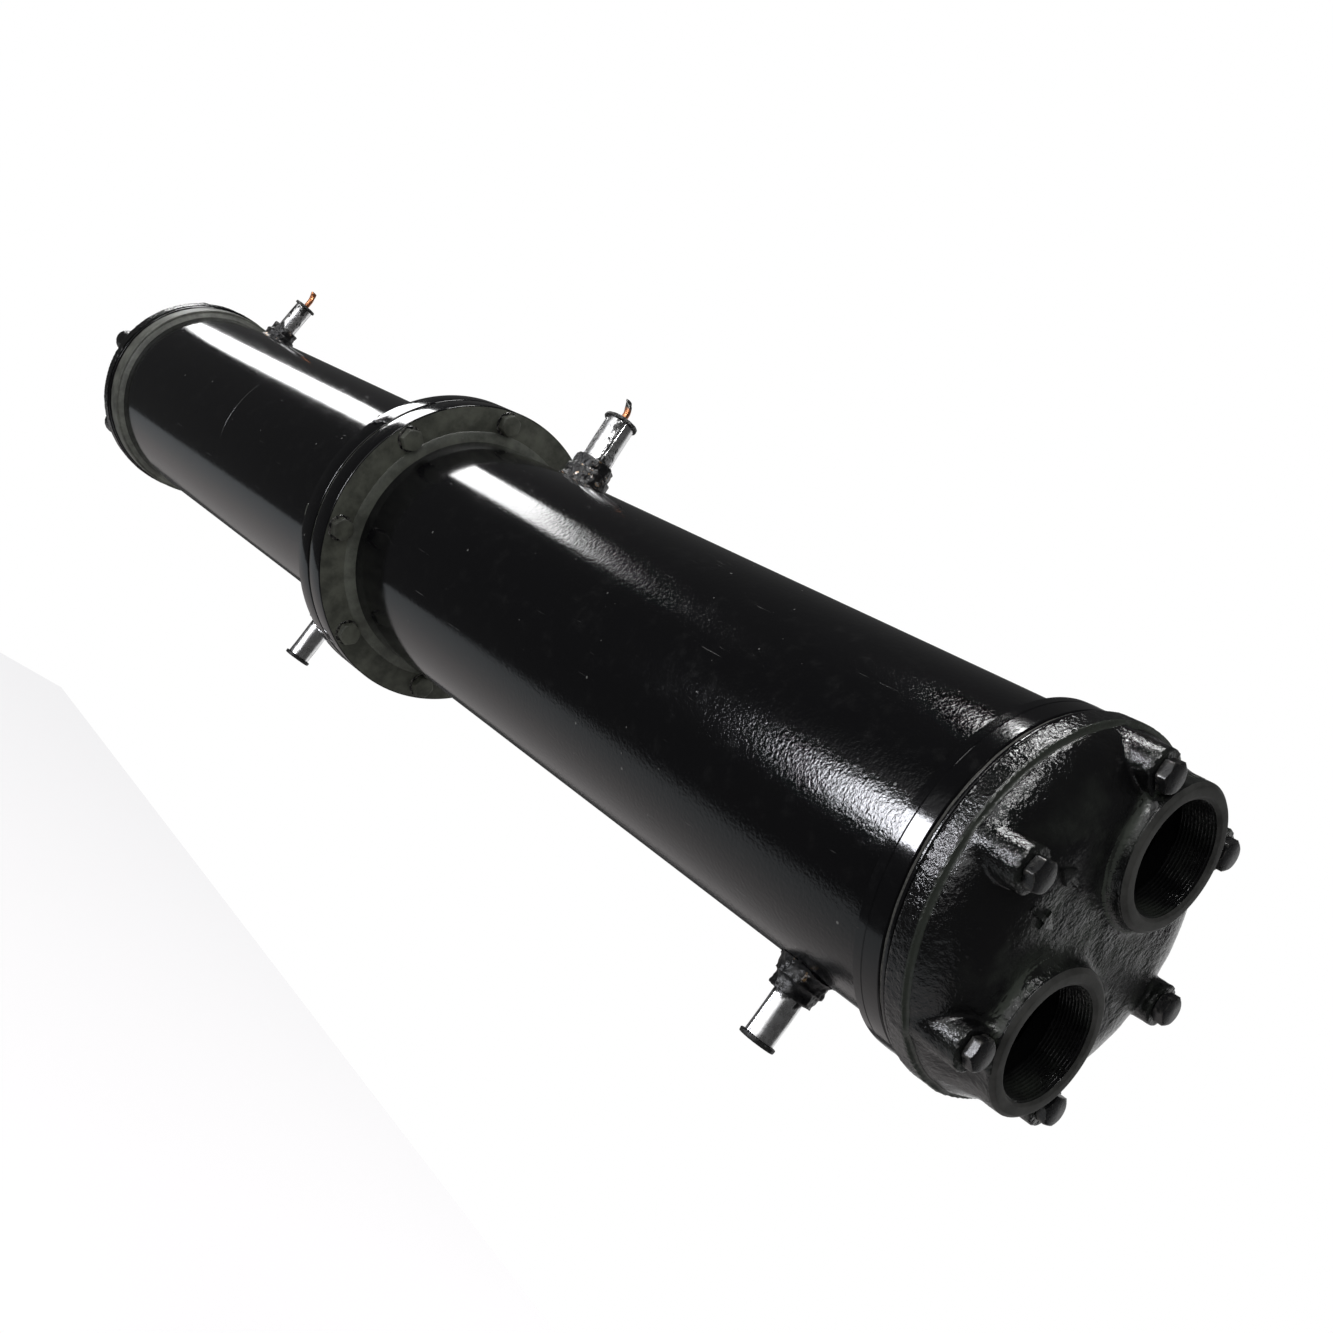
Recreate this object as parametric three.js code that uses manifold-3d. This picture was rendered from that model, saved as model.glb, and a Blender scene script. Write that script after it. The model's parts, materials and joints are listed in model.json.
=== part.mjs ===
// Shell-and-tube hydraulic oil cooler: two pipe shells in line, joined by a bolted mid flange,
// with a ported water head at one end and a blank return head at the other.
// Millimetres. +X runs along the shell axis to the ported head, +Z to the water outlet port.
// The origin is on the shell axis, in the mid flange's joint plane.
import * as THREE from "three";
import { mergeVertices } from "three/addons/utils/BufferGeometryUtils.js";
import Module from "manifold-3d";

const wasm = await Module();
wasm.setup();

// Driving dimensions
const GAP = 0.3; // clearance left between pieces that touch
const SHELL_R = 109.55; // 219.1 mm steel pipe
const SHELL_WALL = 6.3;
const GASKET = 2;
const SHEET = 21; // thickness of every tube sheet
const MID_SHEET_R = 142;
const END_SHEET_R = 117.5;
const NEAR_SHEET_X = 677.5; // shell side of the ported end's tube sheet
const FAR_SHEET_X = -641; // shell side of the return end's tube sheet
const MID_WELD_LEG = 9; // weld fillets round the shell ends, as legs on the plates
const END_WELD_LEG = 5.5;
const WELD_RISE = 4;
const SHELL_SIDES = 56;
const FLANGE_BOLTS = 8;
const FLANGE_BOLT_CIRCLE = 128.8;
const HEAD_BOLTS = 6;
const HEAD_BOLT_CIRCLE = 103;
const M12_R = 6;
const M12_HEX_R = 10.4; // 18 mm across flats
const M12_HEAD = 7.5;
const M12_NUT = 10;
const SPOT_FACE_R = 12;
const BOLT_HOLE_R = 6.8;
const BLIND_DEPTH = 16;
const BOLT_GRIP = 13; // length of a head bolt inside its blind hole

// Cast heads, measured from the gasket face outwards
const RIM_R = 120;
const RIM_H = 18;
const DOME_R = 116.5;
const DOME_FLAT_R = 72.5;
const DOME_H = 49;
const COLUMN_R = 13;
const COLUMN_H = 52;
const WATER_BOX_R = 88;
const WATER_BOX_H = 39;
const PASS_RIB = 8;
const PORT_OFFSET = 62;
const PORT_BORE_R = 36; // G 2 1/2 thread
const PORT_DEPTH = 37;
const COLLAR_R = 46.5;
const COLLAR_FILLET = 6;
const PORT_FACE_H = 60.5;
const PORT_CHAMFER = 2.5;
const ARROW_Y = -64;
const ARROW_Z = 13;

// Tubes, one pass above the rib and one below
const TUBE_R = 9.5;
const TUBE_WALL = 1.5;
const TUBE_ROWS = [
  { z: 26, y: [-57, -19, 19, 57] },
  { z: 62, y: [-34, 34] },
];
const BAFFLE = 4;
const BAFFLE_CUT = 45;

// Oil stubs: outward direction, place along the shell, pipe radius, coupling and pipe heights
const STUBS = [
  { name: "near_upper", up: 1, x: 102, lean: -8, r: 14, boss: 134, tip: 178, process: 22 },
  { name: "near_lower", up: -1, x: 603, lean: 0, r: 10.5, boss: 129, tip: 161, process: 0 },
  { name: "far_lower", up: -1, x: -101, lean: 0, r: 10.5, boss: 129, tip: 168, process: 0 },
  { name: "far_upper", up: 1, x: -606, lean: 4, r: 11, boss: 131, tip: 166, process: 20 },
];
const STUB_WALL = 2;
const BOSS_WALL = 5;
const CAP_LIP = 2.5; // how far a cap stands out past its pipe
const CAP_THICK = 3;
const CAP_SPIGOT = 10;
const PROCESS_TUBE_R = 3.2;

const paint = (color, roughness, metalness) =>
  new THREE.MeshStandardMaterial({ color, roughness, metalness });
const BLACK_ENAMEL = paint(0x0d0d10, 0.22, 0);
const CAST_BLACK = paint(0x141416, 0.4, 0);
const SATIN_GREY = paint(0x3a3f38, 0.6, 0);
const BOLT_STEEL = paint(0x2c2d2c, 0.45, 0.6);
const PIPE_STEEL = paint(0xb9b9b4, 0.3, 1);
const CAP_BLACK = paint(0x1b1b1c, 0.5, 0);
const COPPER = paint(0xb06a3c, 0.35, 1);
const TUBE_COPPER = paint(0xb87448, 0.4, 1);
const GASKET_FIBRE = paint(0x6d6a60, 0.9, 0);

// ---- geometry helpers ----

function solid(geometry) {
  const bare = geometry.clone();
  bare.deleteAttribute("normal");
  bare.deleteAttribute("uv");
  const merged = mergeVertices(bare, 1e-4);
  const vertProperties = merged.attributes.position.array;
  const triVerts = new Uint32Array(merged.index.array);
  return new wasm.Manifold(new wasm.Mesh({ numProp: 3, vertProperties, triVerts }));
}

function join(geometries) {
  return geometries.map(solid).reduce((sum, next) => sum.add(next));
}

function cut(body, geometries) {
  return geometries.map(solid).reduce((rest, tool) => rest.subtract(tool), body);
}

function geometryOf(body) {
  const { vertProperties, triVerts } = body.getMesh();
  return new THREE.BufferGeometry()
    .setAttribute("position", new THREE.BufferAttribute(new Float32Array(vertProperties), 3))
    .setIndex(new THREE.BufferAttribute(new Uint32Array(triVerts), 1))
    .toNonIndexed();
}

const oil_cooler = new THREE.Group();

function add(name, geometry, material, parent = oil_cooler) {
  geometry.computeVertexNormals();
  const mesh = new THREE.Mesh(geometry, material);
  mesh.name = name;
  parent.add(mesh);
  return mesh;
}

// A solid of revolution about X. The profile lists [x, radius] with the material on its right.
function revolve(profile, segments) {
  const points = profile.map(([x, r]) => new THREE.Vector2(r, x));
  return new THREE.LatheGeometry(points, segments).rotateZ(-Math.PI / 2);
}

// A revolved body with a hole through it, whose profile closes on itself.
function revolveRing(profile, segments) {
  return revolve([...profile, profile[0]], segments);
}

function rodX(radius, x0, x1, sides, y = 0, z = 0) {
  return new THREE.CylinderGeometry(radius, radius, x1 - x0, sides)
    .rotateZ(-Math.PI / 2)
    .translate((x0 + x1) / 2, y, z);
}

function rodZ(radius, z0, z1, sides) {
  return new THREE.CylinderGeometry(radius, radius, z1 - z0, sides)
    .rotateX(Math.PI / 2)
    .translate(0, 0, (z0 + z1) / 2);
}

function ringPlaces(count, radius, firstDegrees) {
  return Array.from({ length: count }, (_, i) => {
    const a = THREE.MathUtils.degToRad(firstDegrees + (360 / count) * i);
    return { y: radius * Math.cos(a), z: radius * Math.sin(a) };
  });
}

const flangePlaces = ringPlaces(FLANGE_BOLTS, FLANGE_BOLT_CIRCLE, 22.5);
const headPlaces = ringPlaces(HEAD_BOLTS, HEAD_BOLT_CIRCLE, 0);
const tubePlaces = [1, -1].flatMap((side) =>
  TUBE_ROWS.flatMap((row) => row.y.map((y) => ({ y, z: side * row.z }))),
);

// ---- shells ----

function shell(name, x0, x1, stubs) {
  const inner = SHELL_R - SHELL_WALL;
  const pipe = solid(
    revolveRing(
      [
        [x0, inner],
        [x0, SHELL_R],
        [x1, SHELL_R],
        [x1, inner],
      ],
      SHELL_SIDES,
    ),
  );
  const ports = stubs.map((stub) => {
    const [z0, z1] = stub.up > 0 ? [80, 130] : [-130, -80];
    return rodZ(stub.r - STUB_WALL, z0, z1, 12).translate(stub.x, 0, 0);
  });
  add(name, geometryOf(cut(pipe, ports)), BLACK_ENAMEL);
}

// ---- tube sheets ----

function tubeHoles(x0, x1) {
  return tubePlaces.map(({ y, z }) => rodX(TUBE_R + GAP, x0 - 1, x1 + 1, 6, y, z));
}

// A mid tube sheet is also a flange. Its weld fillet runs round the shell on the side away from the joint.
function midSheet(name, side) {
  const face = side * (GASKET / 2 + GAP);
  const back = face + side * SHEET;
  const collar = SHELL_R + GAP;
  const profile = [
    [face, 0],
    [face, MID_SHEET_R],
    [back, MID_SHEET_R],
    [back, SHELL_R + MID_WELD_LEG],
    [back + side * WELD_RISE, collar],
    [back, collar],
    [back, 0],
  ];
  const plate = solid(revolve(side > 0 ? profile : profile.reverse(), SHELL_SIDES));
  const [x0, x1] = [Math.min(face, back), Math.max(face, back)];
  const holes = flangePlaces.map(({ y, z }) => rodX(BOLT_HOLE_R, x0 - 1, x1 + 1, 6, y, z));
  add(name, geometryOf(cut(plate, [...holes, ...tubeHoles(x0, x1)])), SATIN_GREY);
}

// An end tube sheet has blind threaded holes for the head bolts.
function endSheet(name, shellSide, side) {
  const gasketSide = shellSide + side * SHEET;
  const collar = SHELL_R + GAP;
  const profile = [
    [shellSide, 0],
    [shellSide, collar],
    [shellSide - side * WELD_RISE, collar],
    [shellSide, SHELL_R + END_WELD_LEG],
    [shellSide, END_SHEET_R],
    [gasketSide, END_SHEET_R],
    [gasketSide, 0],
  ];
  const disc = solid(revolve(side > 0 ? profile : profile.reverse(), SHELL_SIDES));
  const holeEnds = [gasketSide - side * BLIND_DEPTH, gasketSide + side].sort((a, b) => a - b);
  const blind = headPlaces.map(({ y, z }) => rodX(M12_R + GAP, ...holeEnds, 6, y, z));
  const [x0, x1] = [Math.min(shellSide, gasketSide), Math.max(shellSide, gasketSide)];
  add(name, geometryOf(cut(disc, [...blind, ...tubeHoles(x0, x1)])), BLACK_ENAMEL);
}

// ---- gaskets ----

function gasketBody(x0, x1, inner, outer, places, withRib) {
  const ring = revolveRing(
    [
      [x0, inner],
      [x0, outer],
      [x1, outer],
      [x1, inner],
    ],
    36,
  );
  const pieces = [ring];
  if (withRib) {
    const rib = new THREE.BoxGeometry(x1 - x0, 2 * inner + 2, PASS_RIB);
    pieces.push(rib.translate((x0 + x1) / 2, 0, 0));
  }
  const holes = places.map(({ y, z }) => rodX(BOLT_HOLE_R, x0 - 1, x1 + 1, 6, y, z));
  return geometryOf(cut(join(pieces), holes));
}

// ---- tube bundles ----

function tubeBundle(name, x0, x1) {
  const tubes = tubePlaces.map(({ y, z }) => rodX(TUBE_R, x0, x1, 6, y, z));
  const baffles = [1, 2].map((i) => {
    const x = x0 + ((x1 - x0) * i) / 3;
    const cutSide = i === 1 ? 1 : -1;
    const disc = solid(rodX(SHELL_R - SHELL_WALL - 2 * GAP, x, x + BAFFLE, 32));
    const window = new THREE.BoxGeometry(BAFFLE + 2, 240, 120).translate(
      x + BAFFLE / 2,
      0,
      cutSide * (60 + BAFFLE_CUT),
    );
    return cut(disc, [window]);
  });
  const outer = baffles.reduce((sum, baffle) => sum.add(baffle), join(tubes));
  const bores = tubePlaces.map(({ y, z }) => rodX(TUBE_R - TUBE_WALL, x0 - 1, x1 + 1, 6, y, z));
  add(name, geometryOf(cut(outer, bores)), TUBE_COPPER);
}

// ---- cast heads ----

function domeProfile(steps, flatRadius, rimRadius, baseHeight, topHeight) {
  return Array.from({ length: steps + 1 }, (_, i) => {
    const a = (i / steps) * (Math.PI / 2);
    return [
      baseHeight + (topHeight - baseHeight) * Math.sin(a),
      flatRadius + (rimRadius - flatRadius) * Math.cos(a),
    ];
  });
}

// The plain casting: rim, dome and bolt columns over a hollow water box, with its gasket face at x = 0.
function headCasting() {
  const outside = revolve(
    [
      [0, 0],
      [0, RIM_R],
      [RIM_H - 1.5, RIM_R],
      [RIM_H, RIM_R - 1.5],
      ...domeProfile(4, DOME_FLAT_R, DOME_R, RIM_H, DOME_H),
      [DOME_H, 0],
    ],
    36,
  );
  const columns = headPlaces.map(({ y, z }) => rodX(COLUMN_R, 1, COLUMN_H, 10, y, z));
  return join([outside, ...columns]);
}

function waterBox() {
  return revolve(
    [[-1, 0], ...domeProfile(2, DOME_FLAT_R - 8, WATER_BOX_R, -1, WATER_BOX_H), [WATER_BOX_H, 0]],
    24,
  );
}

// Each column has a bolt hole and, beside a collar, a spot face that clears the hex head.
function headBoltHoles() {
  return headPlaces.flatMap(({ y, z }) => [
    rodX(BOLT_HOLE_R, -1, COLUMN_H + 1, 6, y, z),
    rodX(SPOT_FACE_R, COLUMN_H, PORT_FACE_H + 1, 10, y, z),
  ]);
}

function arrowOutline() {
  const arrow = new THREE.Shape();
  arrow.moveTo(-13, -2.2);
  arrow.lineTo(2, -2.2);
  arrow.lineTo(2, -6);
  arrow.lineTo(13, 0);
  arrow.lineTo(2, 6);
  arrow.lineTo(2, 2.2);
  arrow.lineTo(-13, 2.2);
  arrow.closePath();
  return arrow;
}

// A raised flow arrow on the flat of the dome, pointing along +Y or -Y.
function flowArrow(y, z, direction) {
  return new THREE.ExtrudeGeometry(arrowOutline(), { depth: 3, bevelEnabled: false })
    .rotateY(Math.PI / 2)
    .rotateX(direction > 0 ? Math.PI / 2 : -Math.PI / 2)
    .translate(DOME_H - 1.6, y, z);
}

function portedHead() {
  const collars = [1, -1].map((side) =>
    revolve(
      [
        [RIM_H, 0],
        [RIM_H, COLLAR_R],
        [DOME_H - COLLAR_FILLET, COLLAR_R + 1.5],
        [DOME_H - 0.5, COLLAR_R + COLLAR_FILLET],
        [DOME_H + COLLAR_FILLET, COLLAR_R],
        [PORT_FACE_H - PORT_CHAMFER, COLLAR_R],
        [PORT_FACE_H, COLLAR_R - PORT_CHAMFER],
        [PORT_FACE_H, 0],
      ],
      28,
    ).translate(0, 0, side * PORT_OFFSET),
  );
  const arrows = [flowArrow(ARROW_Y, ARROW_Z, -1), flowArrow(ARROW_Y, -ARROW_Z, 1)];
  const outside = join([...collars, ...arrows]).add(headCasting());
  const ribLength = WATER_BOX_H + 4;
  const rib = solid(new THREE.BoxGeometry(ribLength, 200, PASS_RIB).translate(ribLength / 2, 0, 0));
  const chamber = solid(waterBox()).subtract(rib);
  const bores = [1, -1].map((side) =>
    rodX(PORT_BORE_R, PORT_FACE_H - PORT_DEPTH, PORT_FACE_H + 1, 24, 0, side * PORT_OFFSET),
  );
  return cut(outside.subtract(chamber), [...bores, ...headBoltHoles()]);
}

function returnHead() {
  return cut(headCasting(), [waterBox(), ...headBoltHoles()]);
}

// ---- fasteners ----

function bolt(headFace, shankEnd, side) {
  const headTop = headFace + side * M12_HEAD;
  const inHead = headFace + side * 1;
  return geometryOf(
    join([
      rodX(M12_HEX_R, Math.min(headFace, headTop), Math.max(headFace, headTop), 6),
      rodX(M12_R, Math.min(shankEnd, inHead), Math.max(shankEnd, inHead), 6),
    ]),
  );
}

function nut(x0, x1) {
  return geometryOf(cut(solid(rodX(M12_HEX_R, x0, x1, 6)), [rodX(M12_R + 0.4, x0 - 1, x1 + 1, 6)]));
}

function placeRound(prefix, places, makeGeometry, material) {
  places.forEach(({ y, z }, i) => {
    add(`${prefix}_${i + 1}`, makeGeometry(), material).position.set(0, y, z);
  });
}

// ---- oil stubs ----

// A stub is built standing up from the shell axis, then leaned and turned to its side of the shell.
function stubGroup(stub) {
  const foot = new THREE.Group();
  foot.position.set(stub.x, 0, stub.up * SHELL_R);
  foot.rotation.set(stub.up > 0 ? 0 : Math.PI, THREE.MathUtils.degToRad(stub.lean), 0);
  oil_cooler.add(foot);
  return foot;
}

// A revolved ring standing along Z, from a profile of [z, radius].
function uprightRing(profile, sides) {
  return revolveRing(profile, sides).rotateY(-Math.PI / 2);
}

function oilStub(stub) {
  const foot = stubGroup(stub);
  const bossTop = stub.boss - SHELL_R;
  const tip = stub.tip - SHELL_R;
  const bossR = stub.r + BOSS_WALL;
  const saddle = rodX(SHELL_R + GAP, -60, 60, 96, 0, -SHELL_R);
  const turn = stub.up > 0 ? -THREE.MathUtils.degToRad(stub.lean) : THREE.MathUtils.degToRad(stub.lean);
  const boss = uprightRing(
    [
      [-6, stub.r + GAP],
      [-6, bossR + 4],
      [3, bossR + 4],
      [7, bossR],
      [bossTop - 1.5, bossR],
      [bossTop, bossR - 1.5],
      [bossTop, stub.r + GAP],
    ],
    20,
  );
  const saddled = cut(solid(boss), [saddle.rotateY(turn)]);
  add(`${stub.name}_coupling`, geometryOf(saddled), BLACK_ENAMEL, foot);

  const pipe = uprightRing(
    [
      [6, stub.r - STUB_WALL],
      [6, stub.r],
      [tip, stub.r],
      [tip, stub.r - STUB_WALL],
    ],
    16,
  );
  add(`${stub.name}_pipe`, pipe.toNonIndexed(), PIPE_STEEL, foot);

  const capTop = tip + GAP + CAP_THICK;
  const spigotR = stub.r - STUB_WALL - GAP;
  const capProfile = [
    [tip - CAP_SPIGOT, spigotR - 1],
    [tip - CAP_SPIGOT + 1, spigotR],
    [tip + GAP, spigotR],
    [tip + GAP, stub.r + CAP_LIP],
    [capTop - 1, stub.r + CAP_LIP],
    [capTop, stub.r + CAP_LIP - 1],
  ];
  if (stub.process > 0) {
    const hole = PROCESS_TUBE_R + GAP;
    const cap = uprightRing([[tip - CAP_SPIGOT, hole], ...capProfile, [capTop, hole]], 16);
    add(`${stub.name}_cap`, cap.toNonIndexed(), CAP_BLACK, foot);
    add(`${stub.name}_process_tube`, processTube(tip - 6, capTop, stub.process), COPPER, foot);
  } else {
    const cap = revolve([[tip - CAP_SPIGOT, 0], ...capProfile, [capTop, 0]], 16);
    add(`${stub.name}_cap`, cap.rotateY(-Math.PI / 2).toNonIndexed(), CAP_BLACK, foot);
  }
}

// A short copper tube that rises from the cap and bends over a little before its pinched end.
function processTube(bottom, capTop, rise) {
  const path = new THREE.CatmullRomCurve3([
    new THREE.Vector3(0, 0, bottom),
    new THREE.Vector3(0, 0, capTop + 2),
    new THREE.Vector3(0, 0, capTop + rise * 0.45),
    new THREE.Vector3(-3, 0, capTop + rise * 0.75),
    new THREE.Vector3(-7, 0, capTop + rise),
  ]);
  const section = new THREE.Shape().absarc(0, 0, PROCESS_TUBE_R, 0, 2 * Math.PI);
  return new THREE.ExtrudeGeometry(section, {
    steps: 8,
    curveSegments: 8,
    extrudePath: path,
    bevelEnabled: false,
  });
}

// ---- the assembly ----

const midFace = GASKET / 2 + GAP;
const nearBack = midFace + SHEET;
const nearStubs = STUBS.filter((stub) => stub.x > 0);
const farStubs = STUBS.filter((stub) => stub.x < 0);

shell("near_shell", nearBack + GAP, NEAR_SHEET_X - GAP, nearStubs);
shell("far_shell", FAR_SHEET_X + GAP, -nearBack - GAP, farStubs);

midSheet("near_mid_tubesheet", 1);
midSheet("far_mid_tubesheet", -1);
endSheet("near_end_tubesheet", NEAR_SHEET_X, 1);
endSheet("far_end_tubesheet", FAR_SHEET_X, -1);

const nearGasketX = NEAR_SHEET_X + SHEET + GAP;
const farGasketX = FAR_SHEET_X - SHEET - GAP;
const bundleEndNear = NEAR_SHEET_X + SHEET;
const bundleEndFar = FAR_SHEET_X - SHEET;
tubeBundle("near_tube_bundle", midFace, bundleEndNear);
tubeBundle("far_tube_bundle", bundleEndFar, -midFace);

add(
  "mid_gasket",
  gasketBody(-GASKET / 2, GASKET / 2, 92, MID_SHEET_R - 1, flangePlaces, true),
  GASKET_FIBRE,
);
add(
  "ported_head_gasket",
  gasketBody(nearGasketX, nearGasketX + GASKET, 89, END_SHEET_R - 0.5, headPlaces, true),
  GASKET_FIBRE,
);
add(
  "return_head_gasket",
  gasketBody(farGasketX - GASKET, farGasketX, 89, END_SHEET_R - 0.5, headPlaces, false),
  GASKET_FIBRE,
);

const nearHeadX = nearGasketX + GASKET + GAP;
const farHeadX = farGasketX - GASKET - GAP;
add("ported_head", geometryOf(portedHead()), CAST_BLACK).position.x = nearHeadX;
const farHead = add("return_head", geometryOf(returnHead()), CAST_BLACK);
farHead.position.x = farHeadX;
farHead.rotation.z = Math.PI;

const headSeat = COLUMN_H + GAP;
placeRound(
  "ported_head_bolt",
  headPlaces,
  () => bolt(nearHeadX + headSeat, NEAR_SHEET_X + SHEET - BOLT_GRIP, 1),
  BOLT_STEEL,
);
placeRound(
  "return_head_bolt",
  headPlaces,
  () => bolt(farHeadX - headSeat, FAR_SHEET_X - SHEET + BOLT_GRIP, -1),
  BOLT_STEEL,
);

const nutFace = -nearBack - GAP;
const nutEnd = nutFace - M12_NUT;
placeRound("flange_bolt", flangePlaces, () => bolt(nearBack + GAP, nutEnd - 3, 1), SATIN_GREY);
placeRound("flange_nut", flangePlaces, () => nut(nutEnd, nutFace), SATIN_GREY);

STUBS.forEach(oilStub);

export default oil_cooler;
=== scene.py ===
"""The looks of a shell-and-tube oil cooler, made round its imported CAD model.

Metres. +X runs along the shells to the ported head, +Z up through the upper oil stubs.
"""

import json
import math

import bmesh
import bpy
import numpy as np
from mathutils import Matrix, Vector, noise

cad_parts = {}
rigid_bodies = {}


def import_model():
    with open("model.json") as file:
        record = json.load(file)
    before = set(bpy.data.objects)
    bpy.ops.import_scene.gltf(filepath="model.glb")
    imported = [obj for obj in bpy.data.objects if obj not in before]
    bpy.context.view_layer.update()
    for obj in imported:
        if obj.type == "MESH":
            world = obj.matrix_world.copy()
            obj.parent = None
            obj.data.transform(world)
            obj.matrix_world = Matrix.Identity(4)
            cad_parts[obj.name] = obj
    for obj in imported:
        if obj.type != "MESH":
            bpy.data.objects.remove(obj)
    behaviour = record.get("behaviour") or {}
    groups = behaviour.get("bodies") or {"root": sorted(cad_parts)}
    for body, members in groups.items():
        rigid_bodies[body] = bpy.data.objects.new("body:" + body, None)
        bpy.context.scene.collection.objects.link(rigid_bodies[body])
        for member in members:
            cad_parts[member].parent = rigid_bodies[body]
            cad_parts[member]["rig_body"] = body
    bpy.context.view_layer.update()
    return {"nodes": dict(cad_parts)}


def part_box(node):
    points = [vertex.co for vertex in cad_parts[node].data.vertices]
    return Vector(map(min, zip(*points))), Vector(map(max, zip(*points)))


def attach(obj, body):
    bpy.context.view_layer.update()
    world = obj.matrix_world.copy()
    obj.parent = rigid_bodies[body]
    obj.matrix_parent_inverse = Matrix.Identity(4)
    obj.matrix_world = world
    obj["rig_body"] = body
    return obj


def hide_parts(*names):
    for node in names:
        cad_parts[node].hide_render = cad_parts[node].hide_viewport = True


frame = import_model()

MM = 0.001
ROUND_SIDES = 256  # faces round each flange, ring and gasket face
SHELL_R = 109.55 * MM
SHELL_WALL = 6.3 * MM
MID_WELD_LEG = 9 * MM
END_WELD_LEG = 5.5 * MM
WELD_RISE = 4 * MM

# Cast heads, measured from the gasket face outwards
RIM_R = 120 * MM
RIM_H = 18 * MM
DOME_R = 116.5 * MM
DOME_FLAT_R = 72.5 * MM
DOME_H = 49 * MM
COLUMN_R = 13 * MM
COLUMN_H = 52 * MM
COLUMN_CIRCLE = 103 * MM
SPOT_FACE_R = 12 * MM
WATER_BOX_R = 88 * MM
WATER_BOX_H = 39 * MM
PASS_RIB = 8 * MM
PORT_OFFSET = 62 * MM
PORT_BORE_R = 36 * MM
PORT_DEPTH = 37 * MM
PORT_FACE_H = 60.5 * MM
PORT_CHAMFER = 2.5 * MM
COLLAR_R = 46.5 * MM
THREAD_PITCH = 2.309 * MM
THREAD_DEPTH = 1.48 * MM
THREAD_LENGTH = 26 * MM

# M12 fasteners
HEX_FLATS = 18 * MM
BOLT_HEAD = 7.5 * MM
TUBE_R = 9.5 * MM
TUBE_WALL = 1.5 * MM
TUBE_ROWS = {26 * MM: (-57, -19, 19, 57), 62 * MM: (-34, 34)}

RIM_DRIPS = ((-15.3, 161.5, 3.4), (-11, 160.5, 2.2), (-4.5, 160, 3.0))

# Oil stubs: side, place along the shell, lean in degrees, pipe radius, coupling top, pipe tip,
# copper rise, crease
STUBS = {
    "near_upper": (1, 102, -8, 14, 134, 178, 22, 250),
    "near_lower": (-1, 603, 0, 10.5, 129, 161, 0, 196),
    "far_lower": (-1, -101, 0, 10.5, 129, 168, 0, 215),
    "far_upper": (1, -606, 4, 11, 131, 166, 20, 170),
}
PIPE_WALL = 2 * MM
BOSS_WALL = 5 * MM
CAP_LIP = 2.5 * MM
CAP_THICK = 3 * MM
CAP_SPIGOT = 10 * MM
CAP_GAP = 0.3 * MM
COPPER_R = 3.2 * MM


# ---- shader building ----


class Tone:
    """A shader value that takes part in Python sums, each of which adds a Math node."""

    def __init__(self, finish, socket):
        self.finish = finish
        self.socket = socket

    def math(self, operation, *others):
        values = dict(enumerate([self, *others]))
        return self.finish.node("ShaderNodeMath", values, operation=operation)

    def __add__(self, other):
        return self.math("ADD", other)

    __radd__ = __add__

    def __mul__(self, other):
        return self.math("MULTIPLY", other)

    __rmul__ = __mul__

    def __sub__(self, other):
        return self.math("SUBTRACT", other)

    def __rsub__(self, other):
        return self.finish.node("ShaderNodeMath", {0: other, 1: self}, operation="SUBTRACT")

    def __pow__(self, other):
        return self.math("POWER", other)

    def least(self, other):
        return self.math("MINIMUM", other)

    def most(self, other):
        return self.math("MAXIMUM", other)

    def step(self, low, high):
        """0 below low, 1 above high, with a smooth ramp between."""
        values = {0: self, 1: low, 2: high}
        return self.finish.node("ShaderNodeMapRange", values, interpolation_type="SMOOTHSTEP")


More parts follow.
